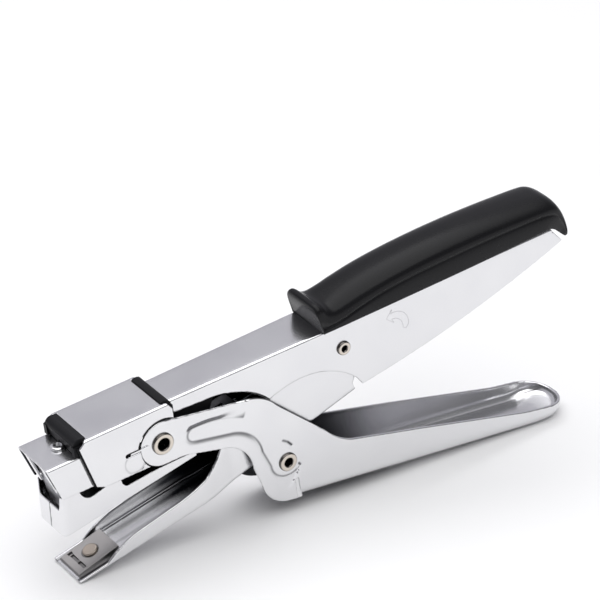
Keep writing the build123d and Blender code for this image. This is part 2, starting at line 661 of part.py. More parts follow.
def anvil_plate():
    """Wedge plate riveted to the arm, with two clinching grooves near its front."""
    face = outline((ANVIL_FRONT, web_top_at(ANVIL_FRONT)), (ANVIL_REAR, web_top_at(ANVIL_REAR)),
                   (ANVIL_REAR, anvil_top_at(ANVIL_REAR)), (ANVIL_FRONT, anvil_top_at(ANVIL_FRONT)))
    part = slab(face, -ANVIL_HALF, ANVIL_HALF)
    part = fillet(part.edges().filter_by(Axis.Z), 0.8)
    groove = Cylinder(2.6, 1.5)
    for side in (-1, 1):
        place = Pos(SLOT_X, side * 2.75, anvil_top_at(SLOT_X) + 2.1) * Rot(0, 90 - ANVIL_SLOPE, 0)
        part -= place * groove
    part -= Pos(ANVIL_RIVET_X, 0, 0) * Cylinder(1.2, 20)
    return part


def anvil_rivet():
    low = web_top_at(ANVIL_RIVET_X) - ARM_SHEET - 0.05
    top = anvil_top_at(ANVIL_RIVET_X)
    head = Cylinder(2.35, 0.7)
    head = fillet(head.edges().filter_by(GeomType.CIRCLE).sort_by(Axis.Z)[-1], 0.45)
    head = Pos(ANVIL_RIVET_X, 0, top + 0.38) * Rot(0, -ANVIL_SLOPE, 0) * head
    shank = upright(ANVIL_RIVET_X, 0, 1.2, low + 0.3, top + 0.3)
    return head + shank


# ---------------------------------------------------------------- squeeze lever

def lever_outline():
    x, z = FRONT_PIVOT
    top = on_circle(FRONT_PIVOT, LEVER_END, 72)
    low = on_circle(FRONT_PIVOT, LEVER_END, -98)
    return outline(
        top, ((48.0, 38.2), (60.0, 35.9)), ((65.6, 33.8), (69.8, 29.6)), (85.0, 13.6),
        ((89.0, 9.4), (93.8, 6.5)), (117.8, -0.9), (156.0, -13.1), TAIL_RIM, LEVER_TAIL,
        ((166.0, -20.37), LEVER_HEEL), FLOOR_FRONT, ((64.6, -1.4), (62.0, 4.6)),
        (60.0, 11.4), ((57.4, 19.0), (50.4, 23.3)), (38.4, 26.9), (low),
        (on_circle(FRONT_PIVOT, LEVER_END, 167), top))


def raised_outline():
    """The pressed-out field of the lever's side: rear body and the tongue along the arm."""
    return outline(
        (41.5, 34.9), ((50.5, 33.9), (58.4, 31.0)), (61.5, 36.6), (72.0, 36.0), (180.0, 20.0),
        (180.0, -30.0), (74.2, -30.0), (74.2, 5.8), ((69.6, 4.9), (65.4, 10.4)), (63.2, 16.6),
        ((59.6, 24.4), (53.6, 27.6)), (42.0, 30.4), ((39.8, 32.6), (41.5, 34.9)))


def squeeze_lever():
    field = slab(lever_outline(), -LEVER_HALF, LEVER_HALF)
    field = field & slab(raised_outline(), -20, 20)
    plan_face = RectangleRounded(2 * LEVER_TAIL[0], 2 * LEVER_HALF, TROUGH_CORNER)
    plan_block = Pos(0, 0, -TALL / 2) * extrude(plan_face, amount=TALL)
    field = field & plan_block
    floor_edges = [edge for edge in field.edges() if is_trough_bend(edge)]
    field = fillet(floor_edges, TROUGH_BEND)
    inner_face = RectangleRounded(2 * (LEVER_TAIL[0] - LEVER_SHEET), 2 * (LEVER_HALF - LEVER_SHEET),
                                  TROUGH_CORNER - LEVER_SHEET)
    inner_plan = Pos(0, 0, -TALL / 2) * extrude(inner_face, amount=TALL)
    drop = LEVER_SHEET
    floor_top = outline(
        (FLOOR_FRONT[0], FLOOR_FRONT[1] + drop), (LEVER_HEEL[0], LEVER_HEEL[1] + drop),
        ((166.0, -20.37 + drop), (LEVER_TAIL[0], LEVER_TAIL[1] + drop)), (200, 0), (200, 90),
        (0, 90), (0, -60), (FLOOR_FRONT[0], -60))
    hollow = slab(floor_top, -20, 20) & inner_plan
    inner_edges = [edge for edge in hollow.edges() if is_trough_bend(edge, drop)]
    hollow = fillet(inner_edges, TROUGH_BEND - LEVER_SHEET)
    part = field - hollow
    arms = both(lever_outline(), ARM_PLATE_IN, ARM_PLATE_OUT) & block(0, 76.0, 20, -40, 60)
    arms -= block(FLOOR_START, 90.0, 20, -40, 2.0)
    part += arms
    part -= across(FRONT_PIVOT, FRONT_RIVET[1] + RUN_GAP, -20, 20)
    part -= across(CAM_PIVOT, CAM_RIVET[1], -20, 20)
    return part


def is_trough_bend(edge, rise=0.0):
    """Long lower edges of the trough, where its floor turns up into its walls."""
    middle = edge.center()
    if edge.length < 6 or middle.X < FLOOR_FRONT[0] + 2:
        return False
    slope = (LEVER_HEEL[1] - FLOOR_FRONT[1]) / (LEVER_HEEL[0] - FLOOR_FRONT[0])
    line = FLOOR_FRONT[1] + slope * (middle.X - FLOOR_FRONT[0]) + rise
    return abs(middle.Z - line) < 2.2


# ---------------------------------------------------------------- output

PARTS = [upper_handle_channel, grip_cover, head_cap, head_liner, guide_liner, nose_housing,
         driver_blade, driver_rivet, driver_block, head_rivets, front_pivot_rivet,
         front_pivot_spacers, rear_pivot_rivet, rear_pivot_sleeve, magazine_channel,
         magazine_shroud, staple_rail, staple_strip, staple_pusher, pusher_rod, pusher_spring,
         magazine_return_spring, clincher_arm, anvil_plate, anvil_rivet, squeeze_lever, cam_rivet,
         cam_sleeve, opening_spring]


def standing(part):
    """From the design frame to the standing pose on the floor."""
    return Pos(STAND_X, 0, STAND_Z) * Rot(0, -STAND_TILT, 0) * part


os.makedirs("parts", exist_ok=True)
for make in PARTS:
    export_step(standing(make()), os.path.join("parts", make.__name__ + ".step"))
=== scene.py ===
import bpy
import math
import numpy as np
from mathutils import Matrix, Vector


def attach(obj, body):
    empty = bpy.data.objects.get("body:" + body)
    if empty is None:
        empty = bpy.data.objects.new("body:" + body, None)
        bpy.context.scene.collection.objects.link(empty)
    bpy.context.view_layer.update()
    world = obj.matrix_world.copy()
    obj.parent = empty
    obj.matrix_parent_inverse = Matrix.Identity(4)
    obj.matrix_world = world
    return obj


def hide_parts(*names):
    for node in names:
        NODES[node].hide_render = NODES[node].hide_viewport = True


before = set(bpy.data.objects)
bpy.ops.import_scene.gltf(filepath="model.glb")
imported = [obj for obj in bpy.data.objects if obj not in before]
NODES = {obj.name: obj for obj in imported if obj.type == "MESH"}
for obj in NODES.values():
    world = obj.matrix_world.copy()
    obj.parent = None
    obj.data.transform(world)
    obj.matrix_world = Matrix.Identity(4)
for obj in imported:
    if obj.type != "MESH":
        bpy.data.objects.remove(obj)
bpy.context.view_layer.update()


# ------------------------------------------------------------------ materials

# Near-black colour of the painted shade the steel takes inside parts, in recesses and along creases.
PAINTED_SHADE_COLOUR = (0.016, 0.018, 0.024, 1.0)
BUMP_DEPTH = 0.0002


def material(name):
    mat = bpy.data.materials.new(name)
    mat.use_nodes = True
    tree = mat.node_tree
    tree.nodes.clear()
    out = tree.nodes.new("ShaderNodeOutputMaterial")
    shader = tree.nodes.new("ShaderNodeBsdfPrincipled")
    tree.links.new(shader.outputs[0], out.inputs[0])
    return mat, tree, shader


def add(tree, kind, **values):
    node = tree.nodes.new(kind)
    for key, value in values.items():
        setattr(node, key, value)
    return node


def noise(tree, coords, scale, detail=3.0, rough=0.5, stretch=(1, 1, 1)):
    mapping = add(tree, "ShaderNodeMapping")
    mapping.inputs["Scale"].default_value = stretch
    tree.links.new(coords, mapping.inputs[0])
    tex = add(tree, "ShaderNodeTexNoise")
    tex.inputs["Scale"].default_value = scale
    tex.inputs["Detail"].default_value = detail
    tex.inputs["Roughness"].default_value = rough
    tree.links.new(mapping.outputs[0], tex.inputs["Vector"])
    return tex.outputs["Fac"]


def ramp(tree, fac, stops):
    node = add(tree, "ShaderNodeValToRGB")
    elements = node.color_ramp.elements
    while len(elements) < len(stops):
        elements.new(0.5)
    for element, (place, color) in zip(elements, stops):
        element.position = place
        element.color = (*color, 1.0)
    tree.links.new(fac, node.inputs[0])
    return node.outputs["Color"]


def spread(tree, fac, low, high):
    node = add(tree, "ShaderNodeMapRange")
    node.inputs["To Min"].default_value = low
    node.inputs["To Max"].default_value = high
    tree.links.new(fac, node.inputs["Value"])
    return node.outputs[0]


def edge_mask(tree, low=0.52, high=0.60):
    geometry = add(tree, "ShaderNodeNewGeometry")
    node = add(tree, "ShaderNodeMapRange")
    node.inputs["From Min"].default_value = low
    node.inputs["From Max"].default_value = high
    tree.links.new(geometry.outputs["Pointiness"], node.inputs["Value"])
    return node.outputs[0]


def steel(name, base, tint, rough, grain_bump=0.02, stretch=(1.0, 14.0, 14.0)):
    """Plated pressed steel: fine drawing lines, faint clouding, worn bright edges, dark painted shade
    inside and along creases.
    """
    mat, tree, shader = material(name)
    coords = add(tree, "ShaderNodeTexCoord").outputs["Object"]
    clouds = noise(tree, coords, 60.0, 4.0, 0.55)
    lines = noise(tree, coords, 900.0, 2.0, 0.6, stretch)
    color = ramp(tree, clouds, ((0.3, tint), (0.7, base)))
    mix = add(tree, "ShaderNodeMix", data_type="RGBA")
    bright = tuple(min(1.0, c * 1.06) for c in base)
    tree.links.new(edge_mask(tree), mix.inputs["Factor"])
    tree.links.new(color, mix.inputs["A"])
    mix.inputs["B"].default_value = (*bright, 1.0)
    # Painted shade: mixes the colour towards the near-black shade colour by the per-vertex shade attribute.
    shade_paint = add(tree, "ShaderNodeMix", data_type="RGBA")
    painted_shade = add(tree, "ShaderNodeAttribute", attribute_name="painted_shade")
    tree.links.new(painted_shade.outputs["Fac"], shade_paint.inputs["Factor"])
    tree.links.new(mix.outputs["Result"], shade_paint.inputs["A"])
    shade_paint.inputs["B"].default_value = PAINTED_SHADE_COLOUR
    tree.links.new(shade_paint.outputs["Result"], shader.inputs["Base Color"])
    shader.inputs["Metallic"].default_value = 1.0
    both = add(tree, "ShaderNodeMath", operation="ADD")
    tree.links.new(spread(tree, clouds, rough * 0.75, rough * 1.05), both.inputs[0])
    tree.links.new(spread(tree, lines, -rough * 0.12, rough * 0.22), both.inputs[1])
    tree.links.new(both.outputs[0], shader.inputs["Roughness"])
    bump = add(tree, "ShaderNodeBump")
    bump.inputs["Strength"].default_value = grain_bump
    bump.inputs["Distance"].default_value = BUMP_DEPTH
    tree.links.new(lines, bump.inputs["Height"])
    tree.links.new(bump.outputs[0], shader.inputs["Normal"])
    return mat


def plastic(name, base, worn, rough, grain_scale, grain_bump, gloss):
    """Moulded black plastic: fine grain, faint scuffs, slightly paler edges."""
    mat, tree, shader = material(name)
    coords = add(tree, "ShaderNodeTexCoord").outputs["Object"]
    clouds = noise(tree, coords, 45.0, 4.0, 0.6)
    grain = noise(tree, coords, grain_scale, 3.0, 0.6)
    mix = add(tree, "ShaderNodeMix", data_type="RGBA")
    tree.links.new(edge_mask(tree, 0.53, 0.66), mix.inputs["Factor"])
    body = ramp(tree, clouds, ((0.3, base), (0.75, tuple(c * 1.25 for c in base))))
    tree.links.new(body, mix.inputs["A"])
    mix.inputs["B"].default_value = (*worn, 1.0)
    tree.links.new(mix.outputs["Result"], shader.inputs["Base Color"])
    tree.links.new(spread(tree, clouds, rough * 0.8, rough * 1.25), shader.inputs["Roughness"])
    shader.inputs["IOR"].default_value = 1.5
    shader.inputs["Specular IOR Level"].default_value = gloss
    bump = add(tree, "ShaderNodeBump")
    bump.inputs["Strength"].default_value = grain_bump
    bump.inputs["Distance"].default_value = BUMP_DEPTH
    tree.links.new(grain, bump.inputs["Height"])
    tree.links.new(bump.outputs[0], shader.inputs["Normal"])
    return mat


BRIGHT = steel("bright_steel", (0.79, 0.79, 0.80), (0.745, 0.745, 0.76), 0.22)
SATIN = steel("satin_steel", (0.60, 0.595, 0.60), (0.55, 0.545, 0.55), 0.34, 0.03)
ANVIL = steel("anvil_steel", (0.40, 0.385, 0.38), (0.34, 0.33, 0.325), 0.36, 0.03)
DARK = steel("dark_steel", (0.42, 0.42, 0.44), (0.36, 0.36, 0.38), 0.35, 0.04)
# Near-black steel: on the magazine channel it is painted shade for the dark inside of the magazine; also
# used on the staple rail and pusher.
BLACK_AND_SHADE_STEEL = steel("black_and_shade_steel", (0.075, 0.075, 0.08), (0.05, 0.05, 0.055), 0.36, 0.04)
SPRING = steel("spring_steel", (0.55, 0.55, 0.58), (0.5, 0.5, 0.53), 0.3, 0.02, (6.0, 6.0, 6.0))
RIVET = steel("rivet_steel", (0.72, 0.66, 0.58), (0.62, 0.56, 0.50), 0.25, 0.02, (4.0, 4.0, 4.0))
COPPER = steel("worn_copper_steel", (0.46, 0.39, 0.33), (0.38, 0.34, 0.30), 0.34, 0.03, (5.0, 5.0, 5.0))
ENGRAVED = steel("engraved_steel", (0.64, 0.64, 0.65), (0.58, 0.58, 0.59), 0.3, 0.02)
STAPLE = steel("staple_wire", (0.75, 0.75, 0.77), (0.7, 0.7, 0.72), 0.22, 0.02)
GRIP = plastic("grip_plastic", (0.008, 0.008, 0.009), (0.018, 0.018, 0.020), 0.26, 1400.0, 0.05, 0.16)
TRIM = plastic("trim_plastic", (0.006, 0.006, 0.007), (0.016, 0.016, 0.018), 0.34, 1800.0, 0.08, 0.08)

NODE_MATERIAL = {
    "upper_handle_channel": BRIGHT, "grip_cover": GRIP, "head_cap": BRIGHT, "head_liner": TRIM,
    "guide_liner": TRIM, "nose_housing": BRIGHT, "driver_blade": DARK, "driver_rivet": BRIGHT,
    "driver_block": DARK, "head_rivets": SATIN, "front_pivot_rivet": RIVET,
    "front_pivot_spacers": SATIN, "rear_pivot_rivet": RIVET, "rear_pivot_sleeve": SATIN,
    # painted shade: the magazine channel is made near-black to stand in for the shade inside the magazine
    "magazine_channel": BLACK_AND_SHADE_STEEL, "magazine_shroud": BRIGHT, "staple_rail": BLACK_AND_SHADE_STEEL,
    "staple_strip": STAPLE, "staple_pusher": BLACK_AND_SHADE_STEEL, "pusher_rod": SPRING,
    "pusher_spring": SPRING, "magazine_return_spring": SPRING, "clincher_arm": BRIGHT,
    "anvil_plate": ANVIL, "anvil_rivet": COPPER, "squeeze_lever": BRIGHT, "cam_rivet": RIVET,
    "cam_sleeve": DARK, "opening_spring": SPRING}

for node_name, node in NODES.items():
    node.data.materials.clear()
    node.data.materials.append(NODE_MATERIAL[node_name])


# ------------------------------------------------------------------ pieces in the design frame

# Millimetres along the top channel (x), across (y) and up (z), before the stapler is stood on
# its toe and heel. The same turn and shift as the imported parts.
MM = 0.001
STAND_TILT = 7.0
STAND_SHIFT = (-82.07, 0.0, 0.5)

# top channel, cap and nose: half-width across, top, outer bend radius
CHANNEL_STATIONS = ((38.0, 88.0), (6.9, 7.8))
CHANNEL_TOP = 45.4
CAP_HALF = 9.5
CAP_TOP = 46.5
NOSE_HALF = 8.4
NOSE_TOP = 41.5
BEND = 1.4

# clincher arm: half-width across, height and slope of its underside in front of the knee, and
# how far above that the anvil plate starts
ARM_STATIONS = ((-5.0, 44.0, 54.0, 110.0), (7.65, 7.65, 6.3, 6.65))
UNDERSIDE_FRONT = -0.6
UNDERSIDE_SLOPE = 7.5 / 48.0
PLATE_RISE = 0.95

# squeeze lever: its side's face in the flat arm and in the pressed-out field, where the field's
# edges end to the rear, and the front and top of the trough's bend
ARM_FACE = 8.8
FIELD_FACE = 9.3
FIELD_END = 82.0
TROUGH_BEND = (73.9, -1.5)

# widths of the ramp along the top of the lever's tongue, and where they are reached
TONGUE_RAMP = ((44.0, 51.0, 56.0, 61.0), (1.0, 1.3, 3.2, 7.0))

# front face of the magazine shroud: a point on it and its lean
SHROUD_FRONT = (-2.18, 16.94)
SHROUD_LEAN = 0.0613

# tubular rivets: centre, flange radius, bore radius
FRONT_RIVET = ((32.0, 34.1), 3.4, 1.85)
CAM_RIVET = ((71.0, 9.3), 2.95, 1.35)
REAR_RIVET = ((95.0, 37.5), 2.2, 0.9)

# anvil plate: front, rear, half-width, height at the front, slope in degrees, edge rounding,
# and the middle and radius of the line round its rivet
ANVIL_FRONT = 1.0
ANVIL_REAR = 14.8
ANVIL_HALF = 5.45
ANVIL_LIFT = 1.35
ANVIL_SLOPE = 15.3
ANVIL_EDGE = 0.3
ANVIL_RIVET = (8.2, 2.35)

# front, rear and both sides of the anvil's clinching pockets with their depth, and the bridge
# left standing across the long one
POCKETS = ((3.0, 4.5, 3.5, 4.6, 0.55), (3.2, 4.3, -4.4, 3.1, 0.5))
BRIDGE = (3.0, 4.5, -1.1, -0.1)


def standing():
    """Design millimetres to the standing frame in metres."""
    tilt = Matrix.Rotation(math.radians(-STAND_TILT), 4, "Y")
    return Matrix.Scale(MM, 4) @ Matrix.Translation(STAND_SHIFT) @ tilt


def piece(name, verts, faces, mat, body, nodes=(), smooth=True):
    """Mesh in design millimetres, moved to the standing frame, riding on a body."""
    mesh = bpy.data.meshes.new(name)
    mesh.from_pydata(verts, [], faces)
    mesh.transform(standing())
    mesh.update()
    if smooth:
        mesh.polygons.foreach_set("use_smooth", [True] * len(mesh.polygons))
    mesh.materials.append(mat)
    obj = bpy.data.objects.new(name, mesh)
    bpy.context.scene.collection.objects.link(obj)
    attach(obj, body)
    if nodes:
        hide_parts(*nodes)
    return obj


def catmull(points, per):
    """Points along a smooth curve through the given points."""
    out = []
    last = len(points) - 1
    for i in range(last):
        p0, p1, p2, p3 = (points[max(0, i - 1)], points[i], points[i + 1], points[min(last, i + 2)])
        for k in range(per):
            t = k / per
            out.append(tuple(0.5 * (2 * b + (c - a) * t + (2 * a - 5 * b + 4 * c - d) * t * t
                                    + (3 * b - a - 3 * c + d) * t ** 3)
                             for a, b, c, d in zip(p0, p1, p2, p3)))
    out.append(points[-1])
    return out


def channel_half(x):
    """Half-width of the top channel, which widens to the rear."""
    return np.interp(x, *CHANNEL_STATIONS)


# ------------------------------------------------------------------ grip

# (top x, top z, bottom x, bottom z, half-width, crease height, squareness) from lip to tail
GRIP_ROWS = (
    (88.9, 46.0, 88.9, 45.0, 8.25, 45.3, 6.0), (88.3, 48.5, 88.9, 45.0, 8.4, 45.5, 6.0),
    (87.6, 51.0, 89.0, 45.0, 8.45, 45.6, 6.5), (87.3, 52.9, 89.1, 45.0, 8.45, 45.8, 7.0),
    (87.7, 53.9, 89.2, 45.0, 8.4, 46.0, 7.0), (88.6, 54.2, 89.4, 45.0, 8.35, 46.2, 7.0),
    (89.4, 53.9, 89.8, 45.0, 8.35, 46.3, 6.5), (90.2, 53.1, 90.4, 45.0, 8.35, 46.4, 5.5),
    (91.4, 52.3, 91.4, 45.0, 8.38, 46.6, 4.5), (93.5, 52.1, 93.5, 45.0, 8.4, 46.9, 3.6),
    (97.0, 52.9, 97.0, 45.0, 8.42, 47.6, 3.0), (102.0, 54.1, 102.0, 45.05, 8.45, 49.0, 2.7),
    (110.0, 55.4, 110.0, 45.1, 8.5, 50.6, 2.55), (120.0, 56.3, 120.0, 45.15, 8.5, 51.6, 2.5),
    (131.0, 56.8, 131.0, 45.2, 8.5, 52.0, 2.5), (142.0, 56.8, 142.0, 45.3, 8.5, 52.2, 2.5),
    (153.0, 56.4, 153.0, 45.5, 8.5, 52.1, 2.5), (163.0, 55.8, 163.0, 45.7, 8.45, 51.8, 2.5),
    (169.0, 55.3, 168.0, 45.8, 8.4, 51.4, 2.6), (172.0, 54.8, 169.8, 45.8, 8.3, 50.9, 2.7),
    (174.2, 53.4, 171.2, 45.6, 8.1, 50.1, 2.8), (175.7, 51.2, 172.6, 44.7, 7.8, 48.8, 3.0),
    (176.9, 48.4, 173.9, 43.4, 7.4, 46.8, 3.2), (177.8, 45.0, 175.2, 42.0, 7.0, 44.2, 3.4),
    (178.3, 42.0, 176.3, 40.8, 6.8, 41.6, 3.6), (178.1, 40.5, 177.0, 40.2, 6.6, 40.4, 3.6))


def grip_section(row, count=26):
    """Half outline from the lower edge, up the side, over a fine flute and the crown."""
    tx, tz, bx, bz, half, crease, square = row
    height = max(0.2, tz - bz)
    rise = min(0.98, max(0.05, (crease - bz) / height))
    depth = min(0.34, 0.05 * height)
    flute = ((0.0, 0.12), (0.04, 0.0), (rise * 0.55, 0.0), (rise * 0.80, 0.0), (rise * 0.88, depth * 0.8),
             (rise * 0.94, depth), (rise * 0.985, depth * 0.45), (rise, depth * 0.3))
    points = [(half - inset, up) for up, inset in flute]
    side = half - depth * 0.3
    for k in range(1, count + 1):
        turn = math.pi / 2 * k / count
        points.append((side * max(0.0, math.cos(turn)) ** (2 / square),
                       rise + (1 - rise) * max(0.0, math.sin(turn)) ** (2 / square)))
    return [(bx + (tx - bx) * up, y, bz + (tz - bz) * up) for y, up in points]


def grip():
    """Moulding skinned from section to section, closed at lip and tail."""
    rows = catmull(GRIP_ROWS, 5)
    verts, faces = [], []
    for row in rows:
        side = grip_section(row)
        verts += [(x, -y, z) for x, y, z in side]
        verts += reversed(side[:-1])
    count = len(verts) // len(rows)
    for i in range(len(rows) - 1):
        for j in range(count):
            k = (j + 1) % count
            faces.append((i * count + j, i * count + k, (i + 1) * count + k, (i + 1) * count + j))
    faces.append(tuple(reversed(range(count))))
    faces.append(tuple(range((len(rows) - 1) * count, len(rows) * count)))
    piece("grip_moulding", verts, faces, GRIP, "handle", ("grip_cover",))


grip()


# ------------------------------------------------------------------ pressed steel

def pressed(node, name, mat, body, painted_shade, shape=None, *, voxel, rounds):
    """A steel part as it comes off the press: every cut edge and step slightly rounded over.

    The voxels are in millimetres, and the rounds are how often their edges are smoothed.
    """
    source = NODES[node]
    obj = bpy.data.objects.new(name, source.data.copy())
    bpy.context.scene.collection.objects.link(obj)
    remesh = obj.modifiers.new("skin", "REMESH")
    remesh.mode = "VOXEL"
    remesh.voxel_size = voxel * MM
    soften = obj.modifiers.new("soften", "SMOOTH")
    soften.factor = 0.5
    soften.iterations = rounds
    bpy.context.view_layer.update()
    mesh = bpy.data.meshes.new_from_object(obj.evaluated_get(bpy.context.evaluated_depsgraph_get()))
    obj.modifiers.clear()
    obj.data = mesh
    if shape:
        reshape(mesh, shape)
    mesh = obj.data
    mesh.polygons.foreach_set("use_smooth", [True] * len(mesh.polygons))
    mesh.materials.clear()
    mesh.materials.append(mat)
    # Painted shade: a per-vertex darkness worked out in the design frame, which the steel material mixes
    # in.
    shade_paint = mesh.attributes.new("painted_shade", "FLOAT", "POINT")
    shade_paint.data.foreach_set("value", np.clip(painted_shade(*in_design(mesh).T), 0.0, 1.0))
    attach(obj, body)
    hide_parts(node)


def in_design(mesh):
    """The vertices in the design frame."""
    points = np.zeros(len(mesh.vertices) * 3)
    mesh.vertices.foreach_get("co", points)
    turn = np.array(standing().to_3x3())
    return (points.reshape(-1, 3) - np.array(standing().translation)) @ np.linalg.inv(turn).T


def reshape(mesh, shape):
    """Moves the vertices by a function of their place in the design frame."""
    moved = shape(in_design(mesh)) @ np.array(standing().to_3x3()).T + np.array(standing().translation)
    mesh.vertices.foreach_set("co", moved.ravel())
    mesh.update()


def arc(start, mid, end, count=14):
    """Points on the circle through three points, from start to end."""
    (ax, az), (bx, bz), (cx, cz) = start, mid, end
    aa, bb, cc = (x * x + z * z for x, z in (start, mid, end))
    area = 2 * (ax * (bz - cz) + bx * (cz - az) + cx * (az - bz))
    middle_x = (aa * (bz - cz) + bb * (cz - az) + cc * (az - bz)) / area
    middle_z = (aa * (cx - bx) + bb * (ax - cx) + cc * (bx - ax)) / area
    radius = math.hypot(ax - middle_x, az - middle_z)
    first, middle, last = (math.atan2(z - middle_z, x - middle_x) for x, z in (start, mid, end))
    sweep = (last - first) % (2 * math.pi)
    if (middle - first) % (2 * math.pi) > sweep:
        sweep -= 2 * math.pi
    turns = [first + sweep * k / count for k in range(1, count + 1)]
    return [(middle_x + radius * math.cos(turn), middle_z + radius * math.sin(turn)) for turn in turns]


# arcs of the lever's pressed-out field: round the tongue's tip, along its top and under it
TIP_ARC = ((42.0, 30.4), (39.8, 32.6), (41.5, 34.9))
TOP_ARC = ((41.5, 34.9), (50.5, 33.9), (58.4, 31.0))
UNDER_ARC = ((63.2, 16.6), (59.6, 24.4), (53.6, 27.6))
# last segment of the field's outline that runs along the top of the tongue
TONGUE_TOP = 15


def field_outline():
    """The lever's pressed-out field: points, and the width of the ramp outside each segment."""
    points, ramps = [TOP_ARC[0]], []

    def to(path, first, last):
        for k, point in enumerate(path):
            points.append(point)
            ramps.append(first + (last - first) * k / max(1, len(path) - 1))

    to(arc(*TOP_ARC), 1.0, 6.5)
    to([(61.5, 36.6)], 7.0, 7.0)
    to([(72.0, 36.0), (180.0, 20.0), (180.0, -30.0), (75.4, -30.0), (75.4, 7.0)], 7.0, 7.0)
    to(arc((75.4, 7.0), (69.6, 5.0), (65.4, 10.4)), 0.8, 0.8)
    to([UNDER_ARC[0]], 1.0, 1.0)
    to(arc(*UNDER_ARC), 1.2, 1.7)
    to([TIP_ARC[0]], 1.7, 1.7)
    to(arc(*TIP_ARC), 1.3, 1.1)
    return np.array(points), np.array(ramps)


def signed_distance(x, z, outline):
    """Distance inside (+) or outside (-) a closed outline, and the nearest segment.

    Of an open line, only the distance without its sign means anything.
    """
    best = np.full(x.shape, 1e9)
    nearest = np.zeros(x.shape, int)
    inside = np.zeros(x.shape, bool)
    for k in range(len(outline) - 1):
        ax, az = outline[k]
        bx, bz = outline[k + 1]
        length = (bx - ax) ** 2 + (bz - az) ** 2 + 1e-12
        t = np.clip(((x - ax) * (bx - ax) + (z - az) * (bz - az)) / length, 0.0, 1.0)
        gap = np.hypot(x - ax - t * (bx - ax), z - az - t * (bz - az))
        closer = gap < best
        best = np.where(closer, gap, best)
        nearest = np.where(closer, k, nearest)
        crosses = ((az > z) != (bz > z)) & (x < (bx - ax) * (z - az) / (bz - az + 1e-12) + ax)
        inside ^= crosses
    return np.where(inside, best, -best), nearest


def lever_shape(design):
    """Turns the step round the lever's pressed-out field into a soft ramp."""
    outline, ramps = field_outline()
    x, y, z = design.T
    skin = (np.abs(y) > ARM_FACE - 0.12) & (x < FIELD_END)
    gap, segment = signed_distance(x[skin], z[skin], outline)
    upper = np.interp(x[skin], *TONGUE_RAMP)
    ramp = np.where(segment <= TONGUE_TOP, upper, ramps[segment])
    t = np.clip((gap + ramp) / (ramp + 0.15), 0.0, 1.0)
    level = ARM_FACE + (FIELD_FACE - ARM_FACE) * t * t * (3 - 2 * t)
    bend = (x[skin] > TROUGH_BEND[0]) & (z[skin] < TROUGH_BEND[1])
    level = np.where(bend, np.minimum(level, np.abs(y[skin])), level)
    y = y.copy()
    y[skin] = np.sign(y[skin]) * level
    return np.stack([x, y, z], axis=1)


def fade(value, start, end):
    """0 at start, 1 at end, smooth between."""
    t = np.clip((value - start) / (end - start), 0.0, 1.0)
    return t * t * (3 - 2 * t)


def arc_line(start, mid, end):
    """The circle through three points, with its starting point."""
    return [start] + arc(start, mid, end)


# painted shade lines along the steps of the lever's pressed side: path, half-width, darkness at each end
LEVER_SHADE_LINES = (
    (arc_line(*TIP_ARC), 0.34, 0.62, 0.55),
    (arc_line(*TOP_ARC), 0.26, 0.50, 0.0),
    (arc_line(*reversed(UNDER_ARC)), 0.34, 0.25, 0.75),
    ([UNDER_ARC[0]] + arc_line((65.4, 10.4), (69.6, 5.0), (73.6, 5.6)), 0.32, 0.60, 0.50),
    ([(70.3, 17.15), (71.8, 16.0), (72.9, 14.5)], 0.42, 0.75, 0.95),
    ([(74.6, 7.1), (75.0, 6.5)], 0.42, 0.9, 0.9))


def lever_painted_shade(x, y, z):
    """Painted shade: dark lines along the press steps, a dark band under the tongue, and a dark front of
    the trough fading to the rear.
    """
    dark = np.zeros(x.shape)
    skin = (np.abs(y) > ARM_FACE - 0.3) & (x < 80.0)
    sx, sz = x[skin], z[skin]
    lines = np.zeros(sx.shape)
    for path, width, first, last in LEVER_SHADE_LINES:
        gap, segment = signed_distance(sx, sz, np.array(path))
        strength = first + (last - first) * segment / max(1, len(path) - 2)
        lines = np.maximum(lines, strength * (1 - fade(np.abs(gap), width * 0.4, width * 1.3)))
    gap, _ = signed_distance(sx, sz, field_outline()[0])
    under = fade(gap, -1.9, -0.2) * (1 - fade(gap, -0.1, 0.5))
    band = under * fade(sz, 20.0, 25.0) * (1 - fade(sz, 31.0, 33.0))
    lines = np.maximum(lines, 0.72 * band * fade(sx, 39.0, 43.0))
    dark[skin] = lines
    inside = (np.abs(y) < 8.55) & (x > 62.0)
    dark[inside] = 0.90 * (1 - fade(x[inside], 90.0, 122.0))
    return dark


def arm_painted_shade(x, y, z):
    """Painted shade: dark towards the pivot, in two streaks, on the upper cheeks and beside the anvil
    plate.
    """
    inside = np.abs(y) < np.interp(x, *ARM_STATIONS) - 0.42
    level = 0.18 * fade(x, 14.0, 19.0) + 0.76 * fade(x, 28.0, 46.0)
    streaks = (1 - fade(np.abs(y - 3.4), 0.3, 1.4)) + 0.8 * (1 - fade(np.abs(y + 1.2), 0.2, 0.9))
    level = level + 0.3 * streaks * (x > 15.0)
    cheek = (x > 40.0) & (x < 68.0) & (z > 27.5)
    edge = (x < 13.5) & (np.abs(y) > 5.6) & (np.abs(y) < 6.9)
    return np.where(inside, level, 0.0) + np.where(edge, 0.7, 0.0) + np.where(cheek, 0.95, 0.0)


# how far a bend is drawn out towards its corner: 2 would leave it round
TIGHTNESS = 5


